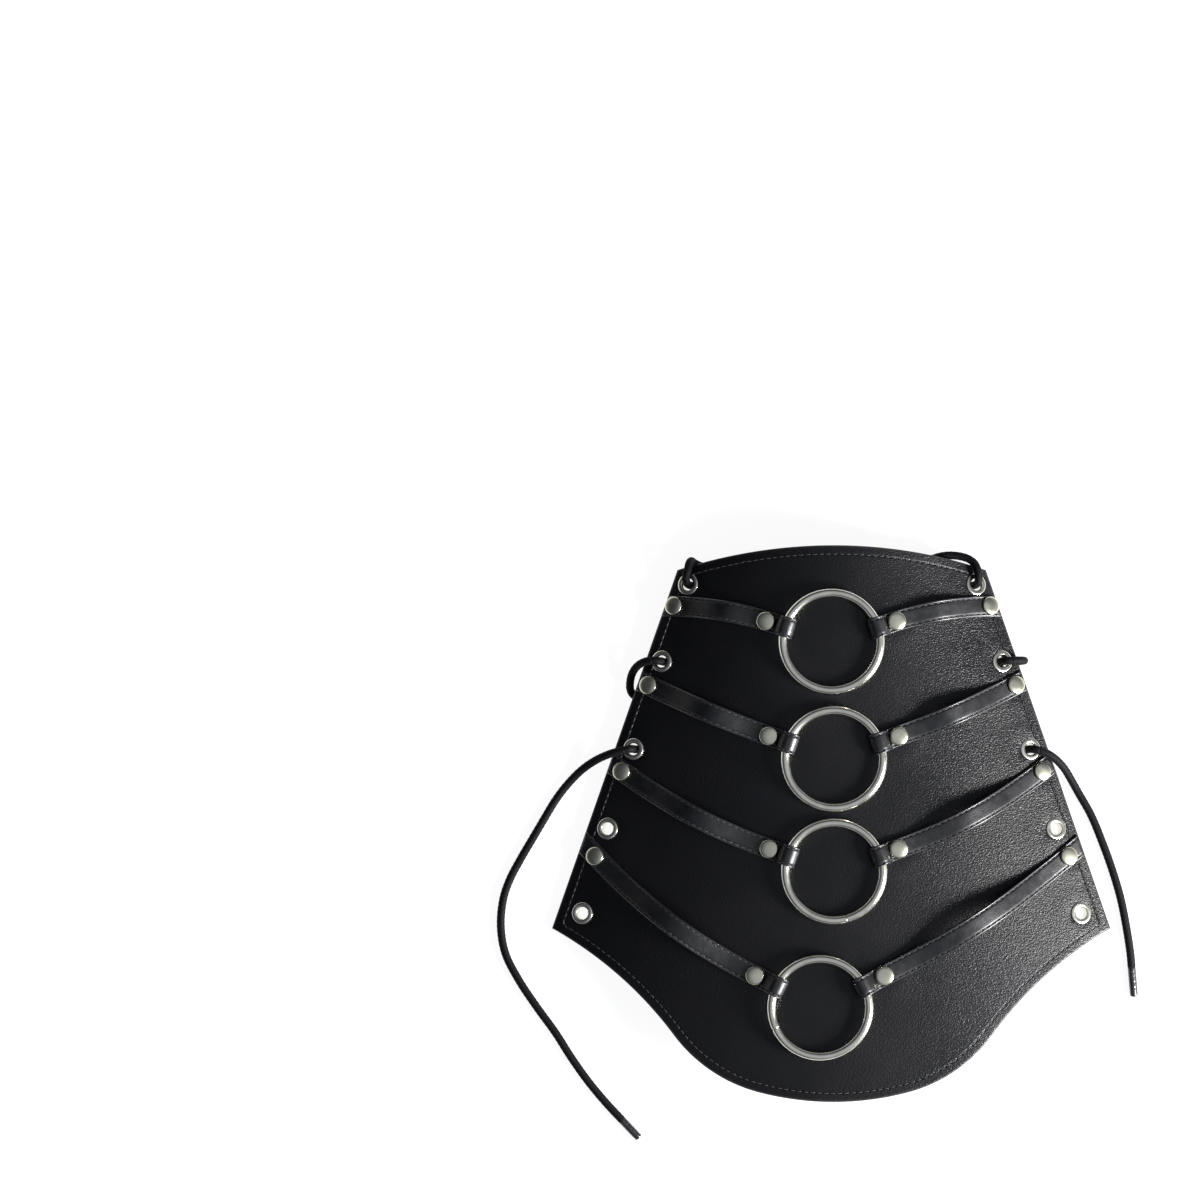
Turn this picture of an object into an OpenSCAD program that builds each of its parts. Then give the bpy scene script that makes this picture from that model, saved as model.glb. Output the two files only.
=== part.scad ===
// Lace-up forearm bracer in two layers of leather, with four steel rings on its ridge.
// It lies on its long edges, front side up. +Y points at the narrow (wrist) end.

/* [Leather panel] */
// Length along the arm, from the narrow end to the tip of the wide end
panel_len = 240; // [220:1:280]
// Width across the two corners of the narrow end
narrow_w = 134; // [120:1:150]
// Width across the two corners of the wide end
wide_w = 243; // [225:1:260]
// Rise of the curved narrow end over its corners
narrow_bow = 10.6; // [6:0.2:14]
// Height of the wide corners over the tip
corner_up = 73.5; // [68:0.5:80]
// Radius of the rounded tip at the wide end
tip_r = 130; // [115:1:150]
// Half angle of the arc of that tip
tip_spread = 14.5; // [10:0.5:18]
// Radius of the tighter shoulders beside the tip
shoulder_r = 66; // [58:1:74]
// Radius of the hollow curves that run out to the wide corners
flare_r = 160; // [130:5:200]
// Thickness of the smooth outer leather
outer_t = 1.4; // [1:0.1:2.4]
// Thickness of the pebbled lining leather
lining_t = 1.4; // [1:0.1:2.4]

/* [Arch of the panel] */
// Half angle of the cone that the bent leather follows
arch_angle = 50; // [48:0.5:54]
// How far the point of that cone lies past the narrow end
arch_reach = 82; // [70:1:100]

/* [Rings] */
// Inside diameter of the welded rings
ring_bore = 38; // [32:0.5:42]
// Thickness of the ring wire
ring_wire = 4; // [3:0.1:5]
// Distance of each ring from the narrow end
ring_at = [41.4, 92, 140.4, 199]; // [38:0.2:202]
// Sideways place of each ring
ring_shift = [-1, 0, 0, -6]; // [-8:0.5:8]
// Direction of each butt seam, in degrees
ring_seam = [158, 24, -74.5, 205]; // [-90:0.5:270]
// Width of the groove that the butt seam leaves
seam_w = 0.3; // [0.2:0.1:0.6]
// Depth of that groove
seam_depth = 0.4; // [0.2:0.1:0.8]
// Clear space between the wire and the strap loop around it
ring_gap = 0.3; // [0.25:0.05:0.8]

/* [Straps] */
// Width of the ring straps
strap_w = 9; // [7:0.5:11]
// Thickness of the ring straps
strap_t = 1.5; // [1:0.1:2]
// How high the straps of each ring stand off the panel between their rivets
strap_bulge = [3, 5.5, 6, 8]; // [1:0.5:9]
// Length of the strap end beyond the inner rivet, under the strap
strap_tail = 4.5; // [4:0.5:7]
// How far short of the side edge a strap is cut
strap_trim = 0.4; // [0:0.1:1]
// Air between layers that a rivet clamps
layer_gap = 0.1; // [0.05:0.05:0.3]

/* [Rivets] */
// Diameter of the domed rivet cap
cap_d = 8; // [6:0.5:9]
// Height of the domed rivet cap
cap_h = 1.4; // [1.2:0.1:3]
// Thickness of the rim of the cap
cap_rim = 0.5; // [0.3:0.1:0.8]
// Room under the flat rim of the cap for the curve of the strap
cap_air = 0.35; // [0.3:0.05:0.6]
// Diameter of the flange of the rivet post, inside the bracer
post_d = 6.8; // [5:0.2:8]
// Thickness of that flange
post_t = 0.6; // [0.4:0.1:1]
// Diameter of the rivet shank
shank_d = 3.2; // [2.8:0.1:3.6]
// Bore of the hollow rivet shank
shank_bore = 2.4; // [1.6:0.1:2.4]
// Clear space around the shank in the leather
shank_clear = 0.1; // [0.05:0.05:0.3]
// Sideways distance of the inner rivets from the centre of their ring
rivet_reach = 27.6; // [26:0.2:32]
// Distance of the inner rivets of each row above the centre of their ring
rivet_up = [8.6, 9.8, 9.6, 13.6]; // [7:0.2:15]
// Distance of the side rivets from the narrow corner, along the side edge
side_rivet_at = [15.2, 51.3, 90.4, 129]; // [14:0.1:131]
// Distance of the side rivets from the side edge
side_rivet_in = [4.4, 5.2, 6.6, 7.8]; // [4.2:0.2:9]

/* [Eyelets] */
// Bore of the lacing eyelets
eyelet_bore = 5.2; // [4.6:0.1:5.6]
// Wall of the eyelet barrel
eyelet_wall = 0.4; // [0.3:0.1:0.6]
// Diameter of the domed front flange
eyelet_front_d = 9.5; // [8.5:0.1:10]
// Diameter of the rolled back flange
eyelet_back_d = 8; // [7.4:0.1:9]
// Number of splits in the rolled back flange
eyelet_splits = 9; // [5:1:12]
// Width of each split
split_w = 0.35; // [0.2:0.05:0.6]
// Clear space around the barrel in the leather
eyelet_clear = 0.1; // [0.05:0.05:0.3]
// Distance of the eyelets from the narrow corner, along the side edge
eyelet_at = [4.4, 39.7, 79.7, 116, 154.3]; // [4:0.1:155]
// Distance of the eyelets from the side edge
eyelet_in = [6.4, 6.6, 7.6, 8.4, 10.2]; // [6:0.2:11]

/* [Lace] */
// Diameter of the round lace
lace_d = 3.6; // [2.4:0.1:3.9]
// Length of the tip on the left end of the lace
aglet_left_len = 11; // [8:1:20]
// Length of the tip on the right end of the lace
aglet_right_len = 13; // [8:1:20]
// Wall of the clear film that binds each tip
aglet_wall = 0.2; // [0.1:0.05:0.4]

/* [Hidden] */

leather = [0.09, 0.09, 0.10];
lining_leather = [0.16, 0.15, 0.14];
nickel = [0.78, 0.77, 0.73];
lace_black = [0.07, 0.07, 0.08];
film = [0.12, 0.12, 0.13];
fine = 96;

// Outline of the panel in plan, half of it listed from the narrow end to the tip
narrow_y = panel_len / 2 - narrow_bow;
wide_y = corner_up - panel_len / 2;
narrow_r = (pow(narrow_w / 2, 2) + pow(narrow_bow, 2)) / (2 * narrow_bow);
tip_y = tip_r - panel_len / 2;
shoulder_c = [0, tip_y] + (tip_r - shoulder_r) * [sin(tip_spread), -cos(tip_spread)];
corner_off = [wide_w / 2, wide_y] - shoulder_c;
corner_dist = norm(corner_off);
arc_sum = shoulder_r + flare_r;
join_dir = atan2(corner_off[0], -corner_off[1])
           - acos((pow(arc_sum, 2) + pow(corner_dist, 2) - pow(flare_r, 2))
                  / (2 * arc_sum * corner_dist));
flare_c = shoulder_c + arc_sum * [sin(join_dir), -cos(join_dir)];
flare_end = atan2(wide_w / 2 - flare_c[0], wide_y - flare_c[1]);
narrow_dir = asin(narrow_w / 2 / narrow_r);
arc_steps = 10;

function mix(a, b, u) = a + (b - a) * u;
function narrow_arc() = [for (i = [0:arc_steps])
    let (q = mix(0, narrow_dir, i / arc_steps))
    [narrow_r * sin(q), panel_len / 2 - narrow_r * (1 - cos(q))]];
function flare_arc() = [for (i = [0:arc_steps])
    let (q = mix(flare_end, -join_dir, i / arc_steps))
    [flare_c[0] + flare_r * sin(q), flare_c[1] + flare_r * cos(q)]];
function shoulder_arc() = [for (i = [1:arc_steps])
    let (q = mix(join_dir, tip_spread, i / arc_steps))
    shoulder_c + shoulder_r * [sin(q), -cos(q)]];
function tip_arc() = [for (i = [1:arc_steps])
    let (q = mix(tip_spread, 0, i / arc_steps))
    [tip_r * sin(q), tip_y - tip_r * cos(q)]];
half_outline = concat(narrow_arc(), flare_arc(), shoulder_arc(), tip_arc());
last = len(half_outline) - 1;
outline = concat(half_outline,
                 [for (i = [last - 1:-1:1]) [-half_outline[i][0], half_outline[i][1]]]);

// The bent leather is a piece of a cone whose ridge line is level.
// Depth under the ridge at a plan point, for a skin that lies deep under the outer face
arch_tan = tan(arch_angle);
apex_y = panel_len / 2 + arch_reach;
panel_t = outer_t + lining_t;
function skin_drop(x, y, deep = 0) =
    let (d = apex_y - deep / arch_tan - y, k = arch_tan * arch_tan - 1)
    (sqrt(pow(d * arch_tan, 2) + k * x * x) - d * arch_tan) / k;
ridge_z = panel_t + skin_drop(wide_w / 2, wide_y, panel_t);
function skin_z(p, deep = 0) = ridge_z - deep - skin_drop(p[0], p[1], deep);
function skin_normal(p) =
    let (w = skin_drop(p[0], p[1]), d = apex_y - p[1], k = arch_tan * arch_tan - 1)
    unit([p[0], arch_tan * w, w * k + d * arch_tan]);
function unit(v) = v / norm(v);
// Point at a height over the outer face, measured square to it
function over(p, h) = [p[0], p[1], skin_z(p) + h / skin_normal(p)[2]];

// Places along the side edge; side is 1 for the right edge and -1 for the left
side_top = [narrow_w / 2, narrow_y];
side_dir = unit([wide_w / 2, wide_y] - side_top);
side_out = [-side_dir[1], side_dir[0]];
function side_at(along, inset, side) =
    let (p = side_top + side_dir * along - side_out * inset)
    [side * p[0], p[1]];

// Rings and the rivets of each row
ring_r = (ring_bore + ring_wire) / 2;
wire_r = ring_wire / 2;
function ring_centre(i) = [ring_shift[i], panel_len / 2 - ring_at[i]];
function inner_rivet(i, side) = ring_centre(i) + [side * rivet_reach, rivet_up[i]];
function side_rivet(i, side) = side_at(side_rivet_at[i], side_rivet_in[i], side);
function row_dir(i, side) = unit([side * rivet_reach, rivet_up[i]]);

// The loop hugs the wire, which curves back by loop_back under the width of the strap
loop_back = ring_r - sqrt(ring_r * ring_r - strap_w * strap_w / 4);
loop_c = ring_r - loop_back;
loop_r = wire_r + ring_gap + strap_t / 2;
lower_h = layer_gap + strap_t / 2;
upper_h = lower_h + strap_t + layer_gap;
function loop_seat(i, side) = skin_z(ring_centre(i) + loop_c * row_dir(i, side)) + lower_h;
function ring_z(i) = loop_r + max(loop_seat(i, 1), loop_seat(i, -1));

// Top face of what each rivet clamps, over the outer face of the panel
inner_stack = upper_h + strap_t / 2;
side_stack = lower_h + strap_t / 2;

// The lace is one cord. Its route runs from the left tip to the right tip, in millimetres.
// Left tail, on the floor beside the bracer and up to the third left eyelet
tail_left_points = [
    [-91, -130, 1.8], [-98, -122.5, 1.8], [-105.5, -113.5, 1.8], [-113, -103, 1.8],
    [-120, -92, 1.8], [-128, -81, 1.8], [-136, -69, 1.8], [-141.8, -57.5, 1.8],
    [-143.8, -46, 1.8], [-142.8, -34, 1.8], [-140, -25.5, 1.8], [-135, -16, 1.8],
    [-130, -7.5, 1.8], [-125, 1, 1.8], [-119.5, 10, 1.8], [-114, 17, 2],
    [-108.4, 22.6, 3.4], [-102.4, 26.8, 6.5], [-97.4, 29.2, 9.2], [-93.6, 30.5, 10.7],
    [-90, 31.3, 11.4]];
// Down through the third left eyelet and across the inside
lower_left_points = [
    [-87.8, 31.8, 11.2], [-86.2, 31.7, 9.5], [-85.3, 31.5, 7.3], [-83.7, 31.6, 5.7],
    [-81.2, 32.2, 5.1], [-78, 32.9, 5.2], [-50, 39.4, 5.6], [-19, 46.4, 5.6],
    [15, 54.4, 4], [50, 62.4, 2.2], [77, 68.6, 1.8]];
// Round the right edge
wrap_right_points = [
    [80.6, 69.4, 1.8], [82.6, 69.8, 2.9], [83.6, 70, 5.4], [83.4, 70.1, 8.2],
    [81.6, 70.2, 10.6], [77.8, 70.1, 12.1]];
// Down the second right eyelet, over the narrow end, through both first eyelets,
// over the narrow end again and up the second left eyelet
upper_points = [
    [75.6, 70, 12.1], [73.9, 69.8, 10.6], [72.9, 69.5, 8.4], [71.2, 69.5, 6.6],
    [68.9, 70.1, 5.8], [60, 73, 4.6], [30, 83.5, 2.6], [0, 93.2, 1.9],
    [-30, 102.8, 1.9], [-45, 107.4, 2.6], [-54.5, 110.4, 4.2], [-58, 111.6, 5.1],
    [-60, 112.7, 6.5], [-61, 113.3, 9.4], [-61.9, 112.4, 12], [-62.6, 109.6, 13.6],
    [-63.4, 106.5, 13.9], [-63.2, 104.3, 13.3], [-62.4, 103.1, 11.5], [-61.3, 102.7, 9.4],
    [-59.5, 102.4, 7.7], [-56.9, 102.3, 7], [-20, 102.6, 6], [20, 102.6, 6],
    [56.9, 102.3, 7], [59.5, 102.4, 7.7], [61.3, 102.7, 9.4], [62.4, 103.1, 11.5],
    [63.2, 104.3, 13.3], [63.4, 106.5, 13.9], [62.9, 109.5, 13.8], [61.6, 112.3, 12.8],
    [58.9, 114.3, 11.9], [54.6, 115.5, 11.2], [50.2, 115.7, 10.8], [46, 115, 11.1],
    [41, 113.2, 11.6], [10, 102.6, 9.9], [-30, 86.8, 8.2], [-60, 74.9, 6.4],
    [-68.9, 70.9, 5.8], [-71.2, 69.6, 6.6], [-72.9, 69.5, 8.4], [-73.9, 69.8, 10.6],
    [-75.6, 70, 12.1], [-77.8, 70.1, 12.1]];
// Round the left edge
wrap_left_points = [
    [-81.3, 69.6, 10.6], [-84.5, 67.6, 8.4], [-86.6, 64.5, 6.1], [-87.5, 60.8, 4],
    [-87.4, 57.4, 2.4], [-86, 55, 1.8], [-82.5, 54.2, 1.8]];
// Across the inside and up the third right eyelet
lower_right_points = [
    [-50, 49.7, 1.8], [-19, 45.6, 1.8], [20, 40.3, 2.4], [60, 34.8, 4], [78, 32.1, 4.8],
    [81.2, 31.8, 5], [83.7, 31.4, 5.7], [85.3, 31.5, 7.3], [86.2, 31.7, 9.5],
    [87.8, 31.6, 11.2], [90, 31.1, 11.5]];
// Right tail, over the side edge and down to the floor
tail_right_points = [
    [93.8, 29.6, 11], [97.6, 26.9, 9.3], [101.2, 23, 6.6], [104.4, 18, 4.1],
    [107.5, 12.6, 2.6], [113, 3, 1.9],
    [118, -9, 1.8], [122.5, -21.5, 1.8], [126, -33.5, 1.8], [128.5, -46, 1.8],
    [130.2, -57, 1.8], [130.8, -63.5, 1.8]];

stretches = [tail_left_points, lower_left_points, wrap_right_points, upper_points,
             wrap_left_points, lower_right_points, tail_right_points];
route = [for (q = stretches, p = q) p];
function count_to(k) = k < 0 ? 0 : len(stretches[k]) + count_to(k - 1);
function heading(k) = unit(route[min(k + 1, len(route) - 1)] - route[max(k - 1, 0)]);
function square_to(t, v) = unit(v - t * (t * v));
// Sideways direction at each point of the route, carried along without twist
side_ways = [for (k = 0, v = square_to(heading(0), [1, 1, 0]); k < len(route);
                  k = k + 1, v = k < len(route) ? square_to(heading(k), v) : v) v];
lace_sides = 8;

module place(p) {
    n = skin_normal(p);
    translate([p[0], p[1], skin_z(p)])
        rotate([0, acos(n[2]), atan2(n[1], n[0])])
            children();
}

module cone(deep) {
    reach = (apex_y + panel_len) / cos(arch_angle);
    translate([0, apex_y - deep / arch_tan, ridge_z - deep])
        rotate([90 + arch_angle, 0, 0])
            cylinder(h = reach, r1 = 0, r2 = reach * arch_tan, $fn = 720);
}

module leather_skin(deep, thick) {
    difference() {
        intersection() {
            translate([0, 0, -1])
                linear_extrude(ridge_z + 2)
                    polygon(outline);
            cone(deep);
        }
        cone(deep + thick);
        for (side = [-1, 1]) {
            for (i = [0:len(ring_at) - 1]) {
                place(inner_rivet(i, side)) punch(shank_d / 2 + shank_clear);
                place(side_rivet(i, side)) punch(shank_d / 2 + shank_clear);
            }
            for (i = [0:len(eyelet_at) - 1])
                place(side_at(eyelet_at[i], eyelet_in[i], side))
                    punch(eyelet_bore / 2 + eyelet_wall + eyelet_clear);
        }
    }
}

module punch(r) {
    translate([0, 0, -panel_t - 2])
        cylinder(h = panel_t + 4, r = r, $fn = fine);
}

module outer_panel() {
    color(leather) leather_skin(0, outer_t);
}

module lining_panel() {
    color(lining_leather) leather_skin(outer_t, lining_t);
}

// Ring of bent wire whose ends meet in a butt seam
module ring(i) {
    c = ring_centre(i);
    color(nickel)
        translate([c[0], c[1], ring_z(i)])
            difference() {
                rotate_extrude($fn = fine * 2)
                    translate([ring_r, 0])
                        circle(r = wire_r, $fn = 48);
                rotate([0, 0, ring_seam[i]])
                    translate([ring_r, 0, 0])
                        rotate([90, 0, 0])
                            difference() {
                                cylinder(h = seam_w, r = wire_r + 1, center = true, $fn = 48);
                                cylinder(h = seam_w + 1, r = wire_r - seam_depth,
                                         center = true, $fn = 48);
                            }
            }
}

module ring_1() { ring(0); }
module ring_2() { ring(1); }
module ring_3() { ring(2); }
module ring_4() { ring(3); }

// Middle line of a strap in plan, from the inner rivet (u = 0) to the side rivet (u = 1)
function strap_plan(i, side, u) =
    let (a = inner_rivet(i, side),
         b = side_rivet(i, side),
         chord = b - a,
         t = row_dir(i, side),
         start = t * norm(chord),
         end = 2 * chord * (t * unit(chord)) - start)
    (2 * pow(u, 3) - 3 * u * u + 1) * a + (pow(u, 3) - 2 * u * u + u) * start
    + (3 * u * u - 2 * pow(u, 3)) * b + (pow(u, 3) - u * u) * end;
function strap_height(i, u) =
    mix(upper_h, lower_h, u * u * (3 - 2 * u)) + strap_bulge[i] * pow(sin(180 * u), 3);

span_steps = 14;
loop_steps = 10;
rise_steps = 5;
tail_steps = 5;
// The strap leaves the ring at this angle over the level, and meets the stack under the cap
leave_dir = 60;
under_cap = 0.9;
rise_pull = 2.5;
rise_rest = 2.2;

// Cubic curve through two points with two handles
function bezier(a, b, c, d, u) =
    pow(1 - u, 3) * a + 3 * pow(1 - u, 2) * u * b + 3 * (1 - u) * u * u * c + pow(u, 3) * d;

// A strap sample is [centre, width direction]
function on_panel(p, h, t) =
    [over(p, h), unit(cross(skin_normal(p), [t[0], t[1], 0]))];

function strap_samples(i, side) =
    let (c = ring_centre(i),
         e = row_dir(i, side),
         a = inner_rivet(i, side),
         a_dist = norm(a - c),
         z = ring_z(i),
         across = [e[1], -e[0], 0],
         shift = 0.001,
         span = [for (k = [span_steps:-1:0])
             let (u = k / span_steps,
                  p = strap_plan(i, side, u),
                  t = strap_plan(i, side, u - shift) - strap_plan(i, side, u + shift))
             on_panel(p, strap_height(i, u), t)],
         flat_start = a_dist - cap_d / 2 + under_cap,
         p3 = [flat_start, over(c + e * flat_start, upper_h)[2]],
         slope = (over(c + e * (flat_start + 1), upper_h)[2] - p3[1]),
         p0 = [ring_r + loop_r * cos(leave_dir), z + loop_r * sin(leave_dir)],
         p1 = p0 + rise_pull * [sin(leave_dir), -cos(leave_dir)],
         p2 = p3 - rise_rest * [1, slope],
         rise = [for (k = [rise_steps:-1:0])
             let (q = bezier(p0, p1, p2, p3, k / rise_steps))
             [[c[0] + e[0] * q[0], c[1] + e[1] * q[0], q[1]], across]],
         loop = [for (k = [1:loop_steps])
             let (q = mix(leave_dir, 270, k / loop_steps),
                  r = (q < 90 ? ring_r : loop_c) + loop_r * cos(q))
             [[c[0] + e[0] * r, c[1] + e[1] * r, z + loop_r * sin(q)], across]],
         tail_end = a_dist + strap_tail,
         tail = [for (k = [1:tail_steps])
             let (r = mix(loop_c, tail_end, k / tail_steps))
             [over(c + e * r, lower_h), across]])
    concat(span, rise, loop, tail);

function tangent(s, k) =
    unit(s[min(k + 1, len(s) - 1)][0] - s[max(k - 1, 0)][0]);

// Four corners of the strap at a sample
function strap_corners(s, k) =
    let (b = s[k][1] * strap_w / 2,
         n = unit(cross(tangent(s, k), s[k][1])) * strap_t / 2,
         p = s[k][0])
    [p + b + n, p - b + n, p - b - n, p + b - n];

// Outer end of the strap, cut along the side edge of the panel (reach = 1)
function strap_cut(i, side, reach) =
    let (p = side_rivet(i, side),
         t = unit(p - strap_plan(i, side, 0.98)),
         w = [t[1], -t[0]] * strap_w / 2,
         m = [side * side_out[0], side_out[1]],
         edge = side_at(0, strap_trim, side),
         ends = [for (q = [1, -1]) p + q * w],
         far = [for (q = ends) q + t * reach * ((edge - q) * m) / (t * m)],
         low = layer_gap,
         high = layer_gap + strap_t)
    [over(far[0], high), over(far[1], high), over(far[1], low), over(far[0], low)];

module strap(i, side) {
    s = strap_samples(i, side);
    rings = concat([for (reach = [1, 0.67, 0.33]) strap_cut(i, side, reach)],
                   [for (k = [0:len(s) - 1]) strap_corners(s, k)]);
    color(leather)
        difference() {
            swept(rings);
            place(inner_rivet(i, side)) punch_strap();
            place(side_rivet(i, side)) punch_strap();
        }
}

module punch_strap() {
    translate([0, 0, -0.5])
        cylinder(h = inner_stack + 1.5, r = shank_d / 2 + shank_clear, $fn = fine);
}

// Closed tube through a list of rings of points
module swept(rings) {
    n = len(rings[0]);
    m = len(rings);
    sides = [for (k = [0:m - 2], j = [0:n - 1], half = [0, 1])
        let (a = k * n + j, b = k * n + (j + 1) % n, c = a + n, d = b + n)
        half == 0 ? [a, c, b] : [b, c, d]];
    first = [for (j = [1:n - 2]) [0, j, j + 1]];
    end = [for (j = [1:n - 2]) [(m - 1) * n, (m - 1) * n + j + 1, (m - 1) * n + j]];
    polyhedron(points = [for (r = rings, p = r) p], faces = concat(sides, first, end));
}

module strap_1_left() { strap(0, -1); }
module strap_2_left() { strap(1, -1); }
module strap_3_left() { strap(2, -1); }
module strap_4_left() { strap(3, -1); }
module strap_1_right() { strap(0, 1); }
module strap_2_right() { strap(1, 1); }
module strap_3_right() { strap(2, 1); }
module strap_4_right() { strap(3, 1); }

// Domed cap, seated on a stack of the given height
module rivet_cap(stack) {
    dome = cap_h - cap_rim;
    dome_r = (cap_d * cap_d / 4 + dome * dome) / (2 * dome);
    translate([0, 0, stack + cap_air])
        difference() {
            union() {
                cylinder(h = cap_rim, d = cap_d, $fn = fine);
                intersection() {
                    translate([0, 0, cap_h - dome_r]) sphere(r = dome_r, $fn = fine);
                    translate([0, 0, cap_rim / 2]) cylinder(h = cap_h, d = cap_d, $fn = fine);
                }
            }
            translate([0, 0, -1])
                cylinder(h = 1 + cap_h / 2, d = shank_d + shank_clear, $fn = fine);
        }
}

// Hollow post, put in from the inside of the bracer and set in its cap
module rivet_post(stack) {
    foot = -panel_t - layer_gap;
    difference() {
        union() {
            translate([0, 0, foot - post_t])
                cylinder(h = post_t, d = post_d, $fn = fine);
            translate([0, 0, foot - post_t / 2])
                cylinder(h = stack + cap_air + cap_h / 3 - foot + post_t / 2,
                         d = shank_d, $fn = fine);
        }
        translate([0, 0, foot - post_t - 1])
            cylinder(h = 1 + post_t + panel_t + layer_gap + stack, d = shank_bore, $fn = fine);
    }
}

module rivet_caps(side) {
    color(nickel)
        for (i = [0:len(ring_at) - 1]) {
            place(inner_rivet(i, side)) rivet_cap(inner_stack);
            place(side_rivet(i, side)) rivet_cap(side_stack);
        }
}

module rivet_posts(side) {
    color(nickel)
        for (i = [0:len(ring_at) - 1]) {
            place(inner_rivet(i, side)) rivet_post(inner_stack);
            place(side_rivet(i, side)) rivet_post(side_stack);
        }
}

module rivet_caps_left() { rivet_caps(-1); }
module rivet_caps_right() { rivet_caps(1); }
module rivet_posts_left() { rivet_posts(-1); }
module rivet_posts_right() { rivet_posts(1); }

// One-piece eyelet: domed flange in front, barrel, and a back edge that is rolled over and splits
module eyelet() {
    bore_r = eyelet_bore / 2;
    front_r = (eyelet_front_d / 2 - bore_r) / 2;
    back_r = (eyelet_back_d / 2 - bore_r) / 2;
    back = -panel_t - layer_gap;
    difference() {
        rotate_extrude($fn = fine) {
            translate([bore_r, back]) square([eyelet_wall, -back + 0.01]);
            intersection() {
                translate([bore_r + front_r, 0]) circle(r = front_r, $fn = 48);
                translate([bore_r, 0]) square([3 * front_r, 2 * front_r]);
            }
            intersection() {
                translate([bore_r + back_r, back]) circle(r = back_r, $fn = 48);
                translate([bore_r, back - 2 * back_r]) square([3 * back_r, 2 * back_r]);
            }
        }
        for (k = [0:eyelet_splits - 1])
            rotate([0, 0, 360 * k / eyelet_splits])
                translate([bore_r + back_r, -split_w / 2, back - 2 * back_r])
                    cube([2 * back_r, split_w, 2 * back_r]);
    }
}

module eyelets(side) {
    color(nickel)
        for (i = [0:len(eyelet_at) - 1])
            place(side_at(eyelet_at[i], eyelet_in[i], side)) eyelet();
}

module eyelets_left() { eyelets(-1); }
module eyelets_right() { eyelets(1); }

function lace_ring(k, r) =
    let (t = heading(k), v = side_ways[k], w = cross(t, v))
    [for (j = [0:lace_sides - 1])
        let (q = 360 * (j + 0.5) / lace_sides)
        route[k] + r * (v * cos(q) + w * sin(q))];

// One stretch of the lace, which meets the stretch before it face to face
module lace_stretch(k) {
    first = max(count_to(k - 1) - 1, 0);
    color(lace_black)
        swept([for (q = [first:count_to(k) - 1]) lace_ring(q, lace_d / 2)]);
}

// The end of the lace inside its tip
module lace_core(k, len) {
    end = route[k];
    t = k == 0 ? -heading(k) : heading(k);
    color(lace_black)
        translate(end)
            rotate([0, 90, atan2(t[1], t[0])])
                cylinder(h = len - aglet_wall, d = lace_d - 2 * aglet_wall - layer_gap, $fn = 32);
}

// Tip of shrunk clear film, a sleeve with a closed end
module aglet(k, len) {
    end = route[k];
    t = k == 0 ? -heading(k) : heading(k);
    color(film)
        translate(end)
            rotate([0, 90, atan2(t[1], t[0])])
                difference() {
                    cylinder(h = len, d = lace_d, $fn = 48);
                    translate([0, 0, -1])
                        cylinder(h = len + 1 - aglet_wall / 2, d = lace_d - 2 * aglet_wall, $fn = 48);
                }
}

module lace_tail_left() {
    lace_stretch(0);
    lace_core(0, aglet_left_len);
}
module lace_lower_left() { lace_stretch(1); }
module lace_wrap_right() { lace_stretch(2); }
module lace_upper() { lace_stretch(3); }
module lace_wrap_left() { lace_stretch(4); }
module lace_lower_right() { lace_stretch(5); }
module lace_tail_right() {
    lace_stretch(6);
    lace_core(len(route) - 1, aglet_right_len);
}
module aglet_left() { aglet(0, aglet_left_len); }
module aglet_right() { aglet(len(route) - 1, aglet_right_len); }

outer_panel();
lining_panel();
ring_1();
ring_2();
ring_3();
ring_4();
strap_1_left();
strap_2_left();
strap_3_left();
strap_4_left();
strap_1_right();
strap_2_right();
strap_3_right();
strap_4_right();
rivet_caps_left();
rivet_caps_right();
rivet_posts_left();
rivet_posts_right();
eyelets_left();
eyelets_right();
lace_upper();
lace_wrap_left();
lace_wrap_right();
lace_lower_left();
lace_lower_right();
lace_tail_left();
lace_tail_right();
aglet_left();
aglet_right();
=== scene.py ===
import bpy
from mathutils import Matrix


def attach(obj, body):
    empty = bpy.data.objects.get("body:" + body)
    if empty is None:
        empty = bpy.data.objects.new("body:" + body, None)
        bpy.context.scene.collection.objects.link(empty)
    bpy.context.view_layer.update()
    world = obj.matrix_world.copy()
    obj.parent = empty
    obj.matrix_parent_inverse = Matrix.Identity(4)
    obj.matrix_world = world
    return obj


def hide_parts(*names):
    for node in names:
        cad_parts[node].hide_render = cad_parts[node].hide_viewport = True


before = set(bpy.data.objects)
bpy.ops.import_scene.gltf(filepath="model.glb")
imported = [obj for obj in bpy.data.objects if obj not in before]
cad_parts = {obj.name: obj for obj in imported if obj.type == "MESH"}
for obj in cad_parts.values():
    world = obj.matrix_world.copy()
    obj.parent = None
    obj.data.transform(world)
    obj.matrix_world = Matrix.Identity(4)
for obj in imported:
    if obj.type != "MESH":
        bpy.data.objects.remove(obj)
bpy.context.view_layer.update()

import math

import bmesh
import bpy
import numpy as np
from mathutils import Vector

# ---- Camera ----
# The photograph looks straight down on the bracer, which lies low and to the right
# in a nearly square frame, with its narrow end up.
frame_height = 0.5192
camera_height = 2.5
film_width = 36
view_centre = Vector((-0.1015, 0.0966, 0.015))


def added(name, data):
    """A new object in the scene."""
    made = bpy.data.objects.new(name, data)
    bpy.context.scene.collection.objects.link(made)
    return made


lens = bpy.data.cameras.new("camera")
lens.sensor_width = film_width
lens.lens = film_width * camera_height / frame_height
lens.clip_end = 100
camera = added("camera", lens)
camera.location = view_centre + Vector((0, 0, camera_height))
bpy.context.scene.camera = camera
bpy.context.scene.view_settings.view_transform = "Standard"

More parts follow.
